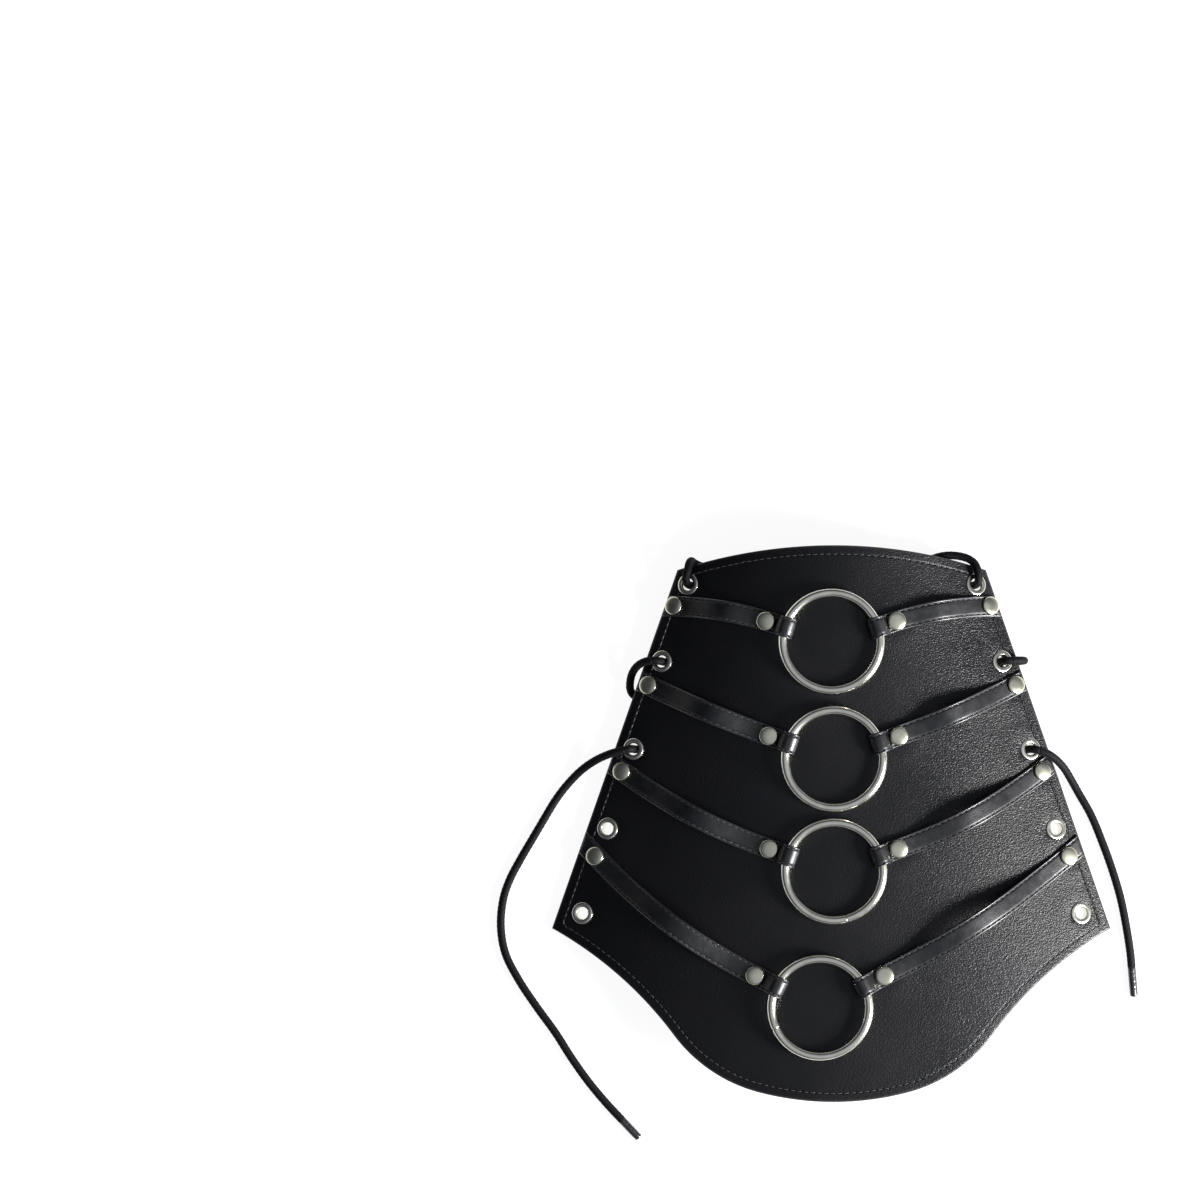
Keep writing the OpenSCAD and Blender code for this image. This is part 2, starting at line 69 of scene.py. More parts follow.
# ---- Lace ----
# One round cord of black polyester, braided over a soft core. It runs from its left tip
# over the table, through the eyelets and under the bracer, to its right tip.
lace_d = 0.0036
lace_step = 0.0004
lace_sides = 32
braid_strands = 8
braid_cell = 0.002
braid_relief = 0.00022
span_steps = 30

lace_route = {
    "lace_tail_left": [
        (-.0910, -.1300, .0018), (-.0980, -.1225, .0018), (-.1055, -.1135, .0018),
        (-.1130, -.1030, .0018), (-.1200, -.0920, .0018), (-.1280, -.0810, .0018),
        (-.1360, -.0690, .0018), (-.1418, -.0575, .0018), (-.1438, -.0460, .0018),
        (-.1428, -.0340, .0018), (-.1400, -.0255, .0018), (-.1350, -.0160, .0018),
        (-.1300, -.0075, .0018), (-.1250, .0010, .0018), (-.1195, .0100, .0018),
        (-.1140, .0170, .0020), (-.1084, .0226, .0034), (-.1024, .0268, .0065),
        (-.0974, .0292, .0092), (-.0936, .0305, .0107), (-.0900, .0313, .0114)],
    "lace_lower_left": [
        (-.0878, .0318, .0112), (-.0862, .0317, .0095), (-.0853, .0315, .0073),
        (-.0837, .0316, .0057), (-.0812, .0322, .0051), (-.0780, .0329, .0052),
        (-.0500, .0394, .0056), (-.0190, .0464, .0056), (.0150, .0544, .0040),
        (.0500, .0624, .0022), (.0770, .0686, .0018)],
    "lace_wrap_right": [
        (.0806, .0694, .0018), (.0826, .0698, .0029), (.0836, .0700, .0054),
        (.0834, .0701, .0082), (.0816, .0702, .0106), (.0778, .0701, .0121)],
    "lace_upper": [
        (.0756, .0700, .0121), (.0739, .0698, .0106), (.0729, .0695, .0084),
        (.0712, .0695, .0066), (.0689, .0701, .0058), (.0600, .0730, .0046),
        (.0300, .0835, .0026), (0, .0932, .0019), (-.0300, .1028, .0019),
        (-.0450, .1074, .0026), (-.0545, .1104, .0042), (-.0580, .1116, .0051),
        (-.0600, .1127, .0065), (-.0610, .1133, .0094), (-.0619, .1124, .0120),
        (-.0626, .1096, .0136), (-.0634, .1065, .0139), (-.0632, .1043, .0133),
        (-.0624, .1031, .0115), (-.0613, .1027, .0094), (-.0595, .1024, .0077),
        (-.0569, .1023, .0070), (-.0200, .1026, .0060), (.0200, .1026, .0060),
        (.0569, .1023, .0070), (.0595, .1024, .0077), (.0613, .1027, .0094),
        (.0624, .1031, .0115), (.0632, .1043, .0133), (.0634, .1065, .0139),
        (.0629, .1095, .0138), (.0616, .1123, .0128), (.0589, .1143, .0119),
        (.0546, .1155, .0112), (.0502, .1157, .0108), (.0460, .1150, .0111),
        (.0410, .1132, .0116), (.0100, .1026, .0099), (-.0300, .0868, .0082),
        (-.0600, .0749, .0064), (-.0689, .0709, .0058), (-.0712, .0696, .0066),
        (-.0729, .0695, .0084), (-.0739, .0698, .0106), (-.0756, .0700, .0121),
        (-.0778, .0701, .0121)],
    "lace_wrap_left": [
        (-.0813, .0696, .0106), (-.0845, .0676, .0084), (-.0866, .0645, .0061),
        (-.0875, .0608, .0040), (-.0874, .0574, .0024), (-.0860, .0550, .0018),
        (-.0825, .0542, .0018)],
    "lace_lower_right": [
        (-.0500, .0497, .0018), (-.0190, .0456, .0018), (.0200, .0403, .0024),
        (.0600, .0348, .0040), (.0780, .0321, .0048), (.0812, .0318, .0050),
        (.0837, .0314, .0057), (.0853, .0315, .0073), (.0862, .0317, .0095),
        (.0878, .0316, .0112), (.0900, .0311, .0115)],
    "lace_tail_right": [
        (.0938, .0296, .0110), (.0976, .0269, .0093), (.1012, .0230, .0066),
        (.1044, .0180, .0041), (.1075, .0126, .0026), (.1130, .0030, .0019),
        (.1180, -.0090, .0018), (.1225, -.0215, .0018), (.1260, -.0335, .0018),
        (.1285, -.0460, .0018), (.1302, -.0570, .0018), (.1308, -.0635, .0018)],
}


def step_lengths(line):
    return np.linalg.norm(np.diff(line, axis=0), axis=1)


def run_along(line):
    """How far along a line of points each of them lies."""
    return np.concatenate([[0], np.cumsum(step_lengths(line))])


def bent_smoothly(points):
    """Closely spaced points on a smooth curve through the given ones."""
    p = np.array(points, float)
    p = np.vstack([2 * p[0] - p[1], p, 2 * p[-1] - p[-2]])
    knots = np.concatenate([[0], np.cumsum(np.sqrt(step_lengths(p)))])
    out = []
    for k in range(1, len(p) - 2):
        t0, t1, t2, t3 = knots[k - 1:k + 3]
        t = np.linspace(t1, t2, span_steps, endpoint=False)[:, None]
        a1 = (t1 - t) / (t1 - t0) * p[k - 1] + (t - t0) / (t1 - t0) * p[k]
        a2 = (t2 - t) / (t2 - t1) * p[k] + (t - t1) / (t2 - t1) * p[k + 1]
        a3 = (t3 - t) / (t3 - t2) * p[k + 1] + (t - t2) / (t3 - t2) * p[k + 2]
        b1 = (t2 - t) / (t2 - t0) * a1 + (t - t0) / (t2 - t0) * a2
        b2 = (t3 - t) / (t3 - t1) * a2 + (t - t1) / (t3 - t1) * a3
        out.append((t2 - t) / (t2 - t1) * b1 + (t - t1) / (t2 - t1) * b2)
    out.append(p[-2][None])
    return np.vstack(out)


def spaced(line, step):
    """The same line with points at even steps, its two ends kept."""
    run = run_along(line)
    at = np.linspace(0, run[-1], max(2, round(run[-1] / step) + 1))
    return np.stack([np.interp(at, run, line[:, k]) for k in range(3)], 1)


def unit(v):
    return v / np.linalg.norm(v, axis=-1, keepdims=True)


def piece(name, verts, faces, stuff=None, smooth=True, edges=()):
    """A mesh object at the origin, with its place in its mesh."""
    mesh = bpy.data.meshes.new(name)
    mesh.from_pydata([tuple(v) for v in verts], edges, [tuple(f) for f in faces])
    mesh.update()
    made = added(name, mesh)
    if stuff is not None:
        mesh.materials.append(stuff)
    mesh.polygons.foreach_set("use_smooth", [smooth] * len(mesh.polygons))
    return made


def turned_out(made, mend=None):
    """Turns the faces of a closed mesh outwards, after a mend if one is given."""
    bm = bmesh.new()
    bm.from_mesh(made.data)
    if mend is not None:
        mend(bm)
    bmesh.ops.recalc_face_normals(bm, faces=bm.faces)
    bm.to_mesh(made.data)
    bm.free()
    made.data.update()


def tube(name, rings, round_at, along_at, stuff):
    """A closed tube through rings of points. Its UV map holds the place round and along it."""
    rings = np.asarray(rings, float)
    m, n = rings.shape[:2]
    k, j = (q.ravel() for q in np.meshgrid(np.arange(m - 1), np.arange(n), indexing="ij"))
    a, b = k * n + j, k * n + (j + 1) % n
    quads = np.stack([a, b, b + n, a + n], 1).tolist()
    verts = np.vstack([rings.reshape(-1, 3), rings[0].mean(0)[None], rings[-1].mean(0)[None]])
    first = [(m * n, (q + 1) % n, q) for q in range(n)]
    last = [(m * n + 1, (m - 1) * n + q, (m - 1) * n + (q + 1) % n) for q in range(n)]
    made = piece(name, verts, quads + first + last, stuff=stuff)
    u = np.stack([round_at[j], round_at[j + 1], round_at[j + 1], round_at[j]], 1)
    v = np.stack([along_at[k], along_at[k], along_at[k + 1], along_at[k + 1]], 1)
    uv = np.zeros((len(made.data.loops), 2))
    uv[:u.size] = np.stack([u.ravel(), v.ravel()], 1)
    made.data.uv_layers.new(name="around_along").data.foreach_set("uv", uv.ravel())
    turned_out(made)
    return made


def put(tree, kind, settings=None, **inputs):
    """Adds a node. An input is a value or the output that feeds it; in_0 is the first input."""
    made = tree.nodes.new(kind)
    for key, value in (settings or {}).items():
        setattr(made, key, value)
    for key, value in inputs.items():
        key = int(key[3:]) if key.startswith("in_") else key.replace("_", " ")
        if isinstance(value, bpy.types.NodeSocket):
            tree.links.new(value, made.inputs[key])
        else:
            made.inputs[key].default_value = value
    return made


def reckon(tree, operation, a, b=0.0, c=0.0):
    return put(tree, "ShaderNodeMath", {"operation": operation}, in_0=a, in_1=b, in_2=c).outputs[0]


def ramp(tree, factor, *stops):
    """A colour ramp with (place, colour) stops."""
    made = put(tree, "ShaderNodeValToRGB", Fac=factor)
    bar = made.color_ramp.elements
    while len(bar) < len(stops):
        bar.new(0.5)
    for stop, (at, colour) in zip(bar, stops):
        stop.position = at
        stop.color = (*colour, 1)
    return made.outputs["Color"]


def between(tree, value, low, high, to_low=0.0, to_high=1.0, soft=True):
    """Turns the values from low to high into others, gently at both ends if soft."""
    way = {"interpolation_type": "SMOOTHSTEP" if soft else "LINEAR"}
    return put(tree, "ShaderNodeMapRange", way, Value=value, From_Min=low, From_Max=high,
               To_Min=to_low, To_Max=to_high).outputs[0]


def place_on(tree):
    """Where a point lies on its piece, for a pattern that stays on it as it moves."""
    return put(tree, "ShaderNodeTexCoord").outputs["Object"]


def clouds(tree, where, scale, detail):
    """Soft random blotches. The higher the scale, the smaller they are."""
    return put(tree, "ShaderNodeTexNoise", Vector=where, Scale=scale, Detail=detail).outputs["Fac"]


def pebbles(tree, where, scale, smoothness):
    """Rounded cells, as in the grain of leather."""
    return put(tree, "ShaderNodeTexVoronoi", {"feature": "SMOOTH_F1"}, Vector=where, Scale=scale,
               Smoothness=smoothness).outputs["Distance"]


def raised(tree, shader, height, strength, distance):
    """Gives a surface a fine relief, over any that it has."""
    normal = shader.inputs["Normal"]
    made = put(tree, "ShaderNodeBump", Height=height, Strength=strength, Distance=distance)
    if normal.is_linked:
        tree.links.new(normal.links[0].from_socket, made.inputs["Normal"])
    tree.links.new(made.outputs["Normal"], normal)


def coloured(tree, shader, factor, *stops):
    tree.links.new(ramp(tree, factor, *stops), shader.inputs["Base Color"])


def finish_of(name, **settings):
    """A new material, with its shader's own sockets set."""
    made = bpy.data.materials.new(name)
    made.use_nodes = True
    shader = made.node_tree.nodes["Principled BSDF"]
    for key, value in settings.items():
        shader.inputs[key.replace("_", " ")].default_value = value
    return made, made.node_tree, shader


lace_cloth, tree, shader = finish_of("lace_cloth", Sheen_Weight=0.03, Sheen_Roughness=0.4,
                                     Roughness=0.62, Specular_IOR_Level=0.10)
weave = put(tree, "ShaderNodeAttribute", {"attribute_name": "weave"}).outputs["Fac"]
fibre = clouds(tree, place_on(tree), 2600.0, 3.0)
# The braid's colour is a random fibre tone plus painted shade: darker in the grooves between its
# strands and lighter on their crowns
fibre_tone_and_groove_shade = reckon(tree, "MULTIPLY_ADD", fibre, 0.35, reckon(tree, "MULTIPLY", weave, 0.65))
coloured(tree, shader, fibre_tone_and_groove_shade, (0.15, (.0008, .0008, .0012)), (0.9, (.006, .006, .0075)))
raised(tree, shader, fibre, strength=0.5, distance=0.0001)

joined = np.array([p for part in lace_route.values() for p in part])
dense = bent_smoothly(joined)
lace_lines = {}
count = 0
for name, points in lace_route.items():
    first, count = max(count - 1, 0), count + len(points)
    stretch = dense[first * span_steps:(count - 1) * span_steps + 1]
    lace_lines[name] = spaced(stretch, lace_step)

# Each stretch takes its frame and its place in the braid from the stretch before it
sideways = np.array([.7, .7, 0])
lace_run = 0.0
turn = np.linspace(0, 1, lace_sides + 1)
for name, line in lace_lines.items():
    heading = unit(np.gradient(line, axis=0))
    sides = []
    for t in heading:
        sideways = unit(sideways - t * np.dot(sideways, t))
        sides.append(sideways)
    sides = np.array(sides)
    upward = np.cross(heading, sides)
    run = lace_run + run_along(line)
    lace_run = run[-1]
    around = turn[None, :-1] * braid_strands
    along = run[:, None] / braid_cell
    one, other = around + along, around - along
    on_top = (np.floor(one) + np.floor(other)) % 2 == 0
    across = np.where(on_top, one, other) % 1
    hump = np.where(on_top, other, one) % 1
    height = np.sqrt(np.sin(np.pi * across)) * (0.55 + 0.45 * np.sin(np.pi * hump))
    radius = lace_d / 2 - braid_relief * (1 - height)
    angle = 2 * np.pi * turn[:-1, None]
    spokes = sides[:, None] * np.cos(angle) + upward[:, None] * np.sin(angle)
    rings = line[:, None] + radius[..., None] * spokes
    made = tube(name + "_braid", rings, turn, run, lace_cloth)
    # The braid's height at each point, which the lace's finish turns into painted shade in the
    # grooves between strands
    values = np.concatenate([height.ravel(), [0.5, 0.5]])
    made.data.attributes.new("weave", "FLOAT", "POINT").data.foreach_set("value", values)
    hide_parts(name)
    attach(made, "bracer")

# ---- Lace tips ----
# A sleeve of clear film on each end of the lace, which keeps the braid from fraying. It is
# shrunk hard round the last centimetre and pinched shut at the end.
tip_sides, tip_back, film_fit = 40, 8, 0.985
lip_end, pinch_start, close_start, pinch_depth = .035, .55, .93, 0.16
tip_film, tree, shader = finish_of("tip_film", Roughness=0.3, Coat_Weight=1.0,
                                   Coat_Roughness=0.06, Specular_IOR_Level=0.5)
weave = put(tree, "ShaderNodeTexVoronoi", Vector=place_on(tree), Scale=900.0).outputs["Distance"]
coloured(tree, shader, weave, (0.0, (.020, .020, .022)), (0.7, (.006, .006, .007)))
raised(tree, shader, weave, strength=0.4, distance=0.0001)

for side, line, length in (("left", lace_lines["lace_tail_left"], 0.011),
                           ("right", lace_lines["lace_tail_right"][::-1], 0.013)):
    end = line[0]
    t = unit(end - line[tip_back])
    s = unit(np.cross(t, [0, 0, 1]))
    w = np.cross(s, t)
    angle = 2 * np.pi * np.arange(tip_sides) / tip_sides
    rings = []
    steps = np.concatenate([[0, .012, lip_end], np.linspace(.07, close_start, 34),
                            [.96, .98, .992, 1]])
    for f in steps:
        pinch = pinch_depth * max(0, (f - pinch_start) / (1 - pinch_start)) ** 1.5
        close = math.sqrt(max(0.02, 1 - max(0, (f - close_start) / (1 - close_start)) ** 2))
        lip = 0.96 + 0.04 * min(1, f / lip_end)
        ripple = (0.012 * np.sin(3 * angle + 34 * f) + 0.010 * np.sin(5 * angle - 61 * f)
                  + 0.008 * np.sin(71 * f))
        r = lace_d / 2 * film_fit * lip * (1 + ripple) * close
        across = s * (np.cos(angle) * r * (1 - 0.3 * pinch))[:, None]
        upward = w * (np.sin(angle) * r * (1 - pinch))[:, None]
        rings.append(end + t * length * f + across + upward)
    made = tube("tip_" + side, rings, np.linspace(0, 1, tip_sides + 1), steps * length, tip_film)
    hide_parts("aglet_" + side)
    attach(made, "bracer")

for side in ("left", "right"):
    line = lace_lines["lace_tail_" + side]

# ---- Floor and light ----
# A white table, which shows white to the eye and keeps a soft shadow. One large soft lamp
# stands low on the right. The room is bright overhead and dark on the left, and pale walls
# show near the horizon, where the metal mirrors them.
floor_size, table_glow = 30.0, 0.92
floor_stuff, tree, shader = finish_of("white_table", Roughness=0.9, Specular_IOR_Level=0.1,
                                      Base_Color=(.22, .22, .22, 1))
ray = put(tree, "ShaderNodeLightPath").outputs
seen = reckon(tree, "MAXIMUM", ray["Is Camera Ray"],
              reckon(tree, "MAXIMUM", ray["Is Glossy Ray"], ray["Is Transmission Ray"]))
white = put(tree, "ShaderNodeEmission", Color=(1, 1, 1, 1),
            Strength=reckon(tree, "MULTIPLY", seen, table_glow))
shown = put(tree, "ShaderNodeAddShader", in_0=shader.outputs["BSDF"],
            in_1=white.outputs["Emission"])
from_under = put(tree, "ShaderNodeNewGeometry").outputs["Backfacing"]
clear = put(tree, "ShaderNodeBsdfTransparent")
either = put(tree, "ShaderNodeMixShader", Fac=from_under, in_1=shown.outputs[0],
             in_2=clear.outputs[0])
tree.links.new(either.outputs[0], tree.nodes["Material Output"].inputs["Surface"])
h = floor_size / 2
floor = piece("table", [(-h, -h, 0), (h, -h, 0), (h, h, 0), (-h, h, 0)], [(0, 1, 2, 3)],
              stuff=floor_stuff, smooth=False)

world = bpy.data.worlds.new("room")
bpy.context.scene.world = world
world.use_nodes = True
tree = world.node_tree
direction = put(tree, "ShaderNodeTexCoord").outputs["Generated"]
toward = put(tree, "ShaderNodeVectorMath", {"operation": "DOT_PRODUCT"}, in_0=direction,
             in_1=(.30, -.15, .94)).outputs["Value"]
overhead = tree.nodes["Background"]
overhead.inputs["Strength"].default_value = 1.0
tree.links.new(ramp(tree, toward, (0.0, (.026, .028, .034)), (0.47, (.052, .056, .068)),
                    (0.70, (.165, .175, .207)), (0.84, (.35, .368, .413)),
                    (1.0, (.415, .433, .478))), overhead.inputs["Color"])
steepness = put(tree, "ShaderNodeSeparateXYZ", Vector=direction).outputs["Z"]
walls = put(tree, "ShaderNodeBackground", Color=(1, 1, 1, 1),
            Strength=between(tree, steepness, .42, .15, to_high=.34))
room = put(tree, "ShaderNodeAddShader", in_0=overhead.outputs[0], in_1=walls.outputs[0])
tree.links.new(room.outputs[0], tree.nodes["World Output"].inputs["Surface"])

lamp_place, lamp_aim = Vector((.81, -.34, .47)), Vector((.05, 0, 0))
light = bpy.data.lights.new("soft_lamp_right", "AREA")
light.shape = "RECTANGLE"
light.size, light.size_y = 0.3, 0.45
light.energy = 37.5
lamp = added("soft_lamp_right", light)
lamp.location = lamp_place
lamp.rotation_mode = "QUATERNION"
lamp.rotation_quaternion = (lamp_place - lamp_aim).to_track_quat("Z", "Y")

# ---- Leather panel ----
# Two layers of leather, a smooth outer and a pebbled lining, cut to one pattern and stitched
# together near the edge. The bent leather is a piece of a cone with a level ridge.
panel_len, narrow_w, wide_w = 0.240, 0.134, 0.243
narrow_bow, corner_up, flare_r = 0.0106, 0.0735, 0.160
tip_r, tip_spread, shoulder_r = 0.130, math.radians(14.5), 0.066
layer_t = 0.0014
panel_t = 2 * layer_t
arch_tan = math.tan(math.radians(50))
apex_y = panel_len / 2 + 0.082

narrow_y = panel_len / 2 - narrow_bow
wide_y = corner_up - panel_len / 2
narrow_r = ((narrow_w / 2) ** 2 + narrow_bow ** 2) / (2 * narrow_bow)
tip_y = tip_r - panel_len / 2
shoulder_x = (tip_r - shoulder_r) * math.sin(tip_spread)
shoulder_y = tip_y - (tip_r - shoulder_r) * math.cos(tip_spread)
corner_dist = math.hypot(wide_w / 2 - shoulder_x, wide_y - shoulder_y)
arc_sum = shoulder_r + flare_r
join_dir = (math.atan2(wide_w / 2 - shoulder_x, shoulder_y - wide_y)
            - math.acos((arc_sum ** 2 + corner_dist ** 2 - flare_r ** 2)
                        / (2 * arc_sum * corner_dist)))
flare_x = shoulder_x + arc_sum * math.sin(join_dir)
flare_y = shoulder_y - arc_sum * math.cos(join_dir)


def skin_drop(x, y, deep=0.0):
    """Depth under the ridge of a skin that lies deep under the outer face."""
    k = arch_tan ** 2 - 1
    d = (apex_y - deep / arch_tan - y) * arch_tan
    return (np.sqrt(d * d + k * x * x) - d) / k


ridge_z = panel_t + float(skin_drop(wide_w / 2, wide_y, panel_t))


def skin_z(x, y, deep=0.0):
    return ridge_z - deep - skin_drop(x, y, deep)


def skin_normal(x, y):
    w, d, k = skin_drop(x, y), apex_y - y, arch_tan ** 2 - 1
    return unit(np.stack([x + 0 * y, arch_tan * w, w * k + d * arch_tan], -1))


def over(x, y, height):
    """The point at a height over the outer face, measured square to it."""
    x, y = np.asarray(x, float), np.asarray(y, float)
    return np.stack([x, y, skin_z(x, y) + height / skin_normal(x, y)[..., 2]], -1)


def narrow_edge(x):
    return panel_len / 2 - narrow_r + np.sqrt(narrow_r ** 2 - x * x)


def wide_edge(x):
    x = np.abs(x)
    tip = tip_y - np.sqrt(np.maximum(tip_r ** 2 - x * x, 0))
    shoulder = shoulder_y - np.sqrt(np.maximum(shoulder_r ** 2 - (x - shoulder_x) ** 2, 0))
    flare = flare_y + np.sqrt(np.maximum(flare_r ** 2 - (x - flare_x) ** 2, 0))
    return np.where(x < tip_r * math.sin(tip_spread), tip,
                    np.where(x < shoulder_x + shoulder_r * math.sin(join_dir), shoulder, flare))


rim_x = np.linspace(narrow_w / 2, -narrow_w / 2, 90)
wide_x = np.linspace(-wide_w / 2, wide_w / 2, 260)
cut_line = np.vstack([np.stack([rim_x, narrow_edge(rim_x)], 1),
                      np.stack([wide_x, wide_edge(wide_x)], 1)])


def from_edge(p):
    """Distance of plan points from the cut edge, for a lot of them at a time."""
    lot = 4000
    a, b = cut_line, np.roll(cut_line, -1, 0)
    ab = b - a
    out = np.empty(len(p))
    for k in range(0, len(p), lot):
        q = p[k:k + lot, None] - a[None]
        t = np.clip((q * ab).sum(-1) / np.maximum((ab * ab).sum(-1), 1e-16), 0, 1)
        out[k:k + lot] = np.sqrt(((q - t[..., None] * ab) ** 2).sum(-1)).min(1)
    return out


side_top = np.array([narrow_w / 2, narrow_y])
side_dir = unit(np.array([wide_w / 2, wide_y]) - side_top)
side_out = np.array([-side_dir[1], side_dir[0]])


def side_at(along, inset, side):
    p = side_top + side_dir * along - side_out * inset
    return np.array([side * p[0], p[1]])


eyelet_along = (.0044, .0397, .0797, .116, .1543)
eyelet_inset = (.0064, .0066, .0076, .0084, .0102)
side_rivet_along = (.0152, .0513, .0904, .129)
side_rivet_inset = (.0044, .0052, .0066, .0078)
eyelet_spots = np.array([side_at(a, b, s) for s in (-1, 1)
                         for a, b in zip(eyelet_along, eyelet_inset)])
ring_spots = np.array([(-.001, .0786), (0, .028), (0, -.0204), (-.006, -.079)])
rivet_reach, rivet_up = .0276, (.0086, .0098, .0096, .0136)
inner_rivets = np.array([ring_spots[i] + (s * rivet_reach, rivet_up[i])
                         for s in (-1, 1) for i in range(4)])
side_rivets = np.array([side_at(a, b, s) for s in (-1, 1)
                        for a, b in zip(side_rivet_along, side_rivet_inset)])

# The panel's points lie in rows and columns, closest along the cut edges
rows, columns = 150, 140
usual_len = .19
close_in = np.array([0, .00012, .0004, .0009])
close_zone = .0018


def stops(length, count):
    """Places from one cut edge to the other, close together at both."""
    inner = np.linspace(close_zone, length - close_zone, count - 2 * len(close_in))
    return np.concatenate([close_in, inner, length - close_in[::-1]])


row_v = stops(usual_len, rows) / usual_len
column_s = stops(usual_len, columns) / usual_len
width = narrow_w + (wide_w - narrow_w) * row_v
s = np.stack([stops(w, columns) / w for w in width])
tall = (narrow_edge((column_s - .5) * narrow_w) - wide_edge((column_s - .5) * wide_w))
v = np.stack([stops(t, rows) / t for t in tall], 1)
plan_x = (s - .5) * (narrow_w + (wide_w - narrow_w) * v)
plan_y = (1 - v) * narrow_edge((s - .5) * narrow_w) + v * wide_edge((s - .5) * wide_w)

# The faces round each eyelet's barrel are left out, and the hole's rim is drawn to a circle
barrel_r, hole_margin, hole_zone = .0031, .0003, .006
eyelet_normals = skin_normal(eyelet_spots[:, 0], eyelet_spots[:, 1])
middle = eyelet_spots - layer_t * eyelet_normals[:, :2]
face_x = (plan_x[:-1, :-1] + plan_x[1:, 1:]) / 2
face_y = (plan_y[:-1, :-1] + plan_y[1:, 1:]) / 2
kept = np.ones(face_x.shape, bool)
for x, y in middle:
    kept &= np.hypot(face_x - x, face_y - y) > barrel_r + hole_margin
padded = np.pad(kept, 1, constant_values=True)
around_kept = padded[:-1, :-1].astype(int) + padded[1:, :-1] + padded[:-1, 1:] + padded[1:, 1:]
on_rim = (around_kept > 0) & (around_kept < 4)

# Slow waves of the leather: radians per metre along X and Y, phase, and height in millimetres
waves = [(31, 12, .4, .10), (-17, 44, 1.9, .09), (52, -23, 4.0, .05), (9, 71, 2.7, .05),
         (-66, 31, 5.1, .035), (83, 57, .9, .025)]
pressed_r, calm_round, calm_share, calm_edge = .0038, .004, .6, .004
outer_press, lining_press = (.00026, .003, 1.0), (.0004, .0035, .9)


def relief(x, y, spots, press, reach, swell):
    """Soft unevenness of a leather face: slow waves, and a rise round each pressed-in piece."""
    out = sum(h * .001 * np.sin(a * x + b * y + c) for a, b, c, h in waves) * swell
    for px, py in spots:
        t = np.maximum(np.hypot(x - px, y - py) - pressed_r, 0) / reach
        out = out + press * t * np.exp(1 - t)
        out = out * (1 - np.exp(-(t * reach / calm_round) ** 2) * calm_share)
    return out


def leather_layer(name, top_deep, bottom_deep, top_edge, bottom_edge, top_relief, bottom_relief,
                  stuff, edge_stuff):
    """One layer of leather as a closed shell with round cut edges and eyelet holes."""
    points = []
    off = from_edge(np.stack([plan_x.ravel(), plan_y.ravel()], 1)).reshape(plan_x.shape)
    for deep, edge_r, bulge, way in ((top_deep, top_edge, top_relief, 1),
                                     (bottom_deep, bottom_edge, bottom_relief, -1)):
        x, y = plan_x.copy(), plan_y.copy()
        for (cx, cy), n in zip(eyelet_spots, eyelet_normals):
            centre = np.array([cx, cy, float(skin_z(cx, cy))]) - deep * n
            near = on_rim & (np.hypot(x - centre[0], y - centre[1]) < hole_zone)
            q = np.stack([x[near], y[near], skin_z(x[near], y[near], deep)], 1) - centre
            q = q - (q @ n)[:, None] * n
            q = centre + unit(q) * barrel_r
            x[near], y[near] = q[:, 0], q[:, 1]
        inside = np.clip((edge_r - off) / edge_r, 0, 1)
        fall = edge_r * (1 - np.sqrt(1 - inside ** 2))
        soft = np.clip(off / calm_edge, 0, 1)
        z = skin_z(x, y, deep) + (bulge(x, y) * soft - fall) * way
        points.append(np.stack([x, y, z], -1).reshape(-1, 3))
    total = plan_x.size
    index = np.arange(total).reshape(plan_x.shape)
    quads = np.stack([index[:-1, :-1], index[1:, :-1], index[1:, 1:], index[:-1, 1:]], -1)[kept]
    edges = dict.fromkeys((a, b) for quad in quads for a, b in zip(quad, np.roll(quad, -1)))
    walls = [(b, a, a + total, b + total) for a, b in edges if (b, a) not in edges]
    made = piece(name, np.vstack(points), quads.tolist() + (quads[:, ::-1] + total).tolist()
                 + walls, stuff=stuff)
    made.data.materials.append(edge_stuff)
    made.data.polygons.foreach_set("material_index",
                                   [0] * (2 * len(quads)) + [1] * len(walls))
    values = np.tile(off.ravel(), 2).astype(np.float32)
    made.data.attributes.new("from_edge", "FLOAT", "POINT").data.foreach_set("value", values)
    turned_out(made, lambda bm: bmesh.ops.delete(
        bm, geom=[p for p in bm.verts if not p.link_faces], context="VERTS"))
    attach(made, "bracer")
    return made


stitch_in = .0038
cut_edge, tree, shader = finish_of("cut_edge", Roughness=0.7, Specular_IOR_Level=0.3)
nap = clouds(tree, place_on(tree), 1800.0, 4.0)
coloured(tree, shader, nap, (0.3, (.010, .010, .010)), (0.75, (.045, .043, .041)))
raised(tree, shader, nap, strength=0.8, distance=0.0002)

smooth_leather, tree, shader = finish_of("smooth_leather", Specular_IOR_Level=0.30)
where = place_on(tree)
inset = put(tree, "ShaderNodeAttribute", {"attribute_name": "from_edge"}).outputs["Fac"]
grain = pebbles(tree, where, 1600.0, 0.6)
pores = clouds(tree, where, 2100.0, 3.0)
patches = clouds(tree, where, 28.0, 3.0)
bent = put(tree, "ShaderNodeMapping", Vector=where, Scale=(920, 2300, 940), Rotation=(0, 0, 0.10))
crease = put(tree, "ShaderNodeTexNoise", Vector=bent.outputs[0], Scale=1.0, Detail=1.0,
             Distortion=0.4).outputs["Fac"]
rightward = put(tree, "ShaderNodeSeparateXYZ", Vector=where).outputs["X"]
right_side = between(tree, rightward, .02, .06)
creased = reckon(tree, "MULTIPLY", crease, reckon(tree, "MULTIPLY_ADD", right_side, .8, .5))
groove = reckon(tree, "ABSOLUTE", reckon(tree, "SUBTRACT", inset, stitch_in))
groove = between(tree, groove, 0.0, .0006)
